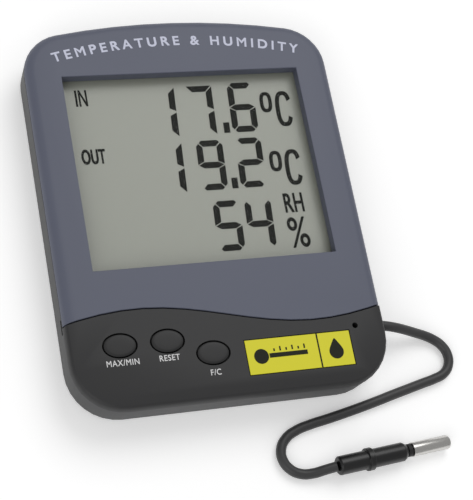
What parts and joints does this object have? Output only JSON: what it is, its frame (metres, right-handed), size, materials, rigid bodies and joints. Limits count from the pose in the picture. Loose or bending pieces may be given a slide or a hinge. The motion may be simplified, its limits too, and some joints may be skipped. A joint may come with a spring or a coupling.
{
  "type": "maximum minimum thermometer",
  "caption": "Flat digital maximum minimum thermometer and humidity meter with a recessed display, three oval buttons and a probe on a short cord.",
  "frame": {"origin": "middle of the case's footprint, on the surface that its back lies on", "axes": "+X across the display to the right, +Y towards the display top, +Z out of the display"},
  "size_m": [0.1367, 0.1632, 0.0167],
  "materials": {
    "slate": "fine moulded texture, slate blue",
    "charcoal": "fine moulded texture",
    "button_grey": "smooth, slightly domed",
    "rear_grey": "fine moulded texture",
    "label_yellow": "printed label plate",
    "lens_clear": "clear window",
    "lcd_glass": "display glass",
    "reflector": "satin",
    "holder_white": "plain",
    "connector_rubber": "striped elastomer",
    "board_green": "solder mask",
    "black_part": "plain",
    "steel": "bright",
    "contact_nickel": "nickel plated",
    "lead_black": "wire sleeve",
    "lead_red": "wire sleeve",
    "cord_rubber": "soft cord jacket"
  },
  "bodies": {
    "case": {"battery_cell": "steel", "battery_spring": "contact_nickel", "board_screw_left": "steel", "board_screw_right": "steel", "capacitor": "black_part", "case_screw_1": "steel", "case_screw_2": "steel", "case_screw_3": "steel", "case_screw_4": "steel", "chip_blob": "black_part", "connector_strip_bottom": "connector_rubber", "connector_strip_top": "connector_rubber", "cord_grommet": "cord_rubber", "crystal": "steel", "display_lens": "lens_clear", "front_bezel": "slate", "front_case": "charcoal", "humidity_sensor": "holder_white", "label_plate": "label_yellow", "lcd_front_glass": "lcd_glass", "lcd_holder": "holder_white", "lcd_rear_glass": "lcd_glass", "lcd_reflector": "reflector", "main_board": "board_green", "max_min_switch": "black_part", "negative_contact": "contact_nickel", "negative_lead": "lead_black", "positive_contact": "contact_nickel", "positive_lead": "lead_red", "probe_body": "black_part", "probe_collar": "black_part", "probe_cord": "cord_rubber", "probe_lead": "lead_black", "probe_tip": "steel", "rear_case": "rear_grey", "reset_switch": "black_part", "room_thermistor": "black_part", "unit_switch": "black_part"},
    "max_min_button": {"max_min_button": "button_grey", "max_min_plunger": "black_part"},
    "reset_button": {"reset_button": "button_grey", "reset_plunger": "black_part"},
    "unit_button": {"unit_button": "button_grey", "unit_plunger": "black_part"},
    "kickstand": {"kickstand": "rear_grey"},
    "battery_door": {"battery_door": "rear_grey"}
  },
  "joints": [
    {"name": "max_min_button_press", "type": "slide", "parent": "case", "child": "max_min_button", "axis": [0, 0, -1], "range_m": [0, 0.0006], "stiffness_N_per_m": 1500, "springref_m": -0.0002},
    {"name": "reset_button_press", "type": "slide", "parent": "case", "child": "reset_button", "axis": [0, 0, -1], "range_m": [0, 0.0006], "stiffness_N_per_m": 1500, "springref_m": -0.0002},
    {"name": "unit_button_press", "type": "slide", "parent": "case", "child": "unit_button", "axis": [0, 0, -1], "range_m": [0, 0.0006], "stiffness_N_per_m": 1500, "springref_m": -0.0002},
    {"name": "kickstand_fold", "type": "hinge", "parent": "case", "child": "kickstand", "pos_m": [-0.02275, -0.058, 0.0014], "axis": [-1, 0, 0], "range_deg": [0, 60]},
    {"name": "battery_door_swing", "type": "hinge", "parent": "case", "child": "battery_door", "pos_m": [-0.0015, -0.055, 0.0008], "axis": [0, 1, 0], "range_deg": [0, 80]}
  ]
}
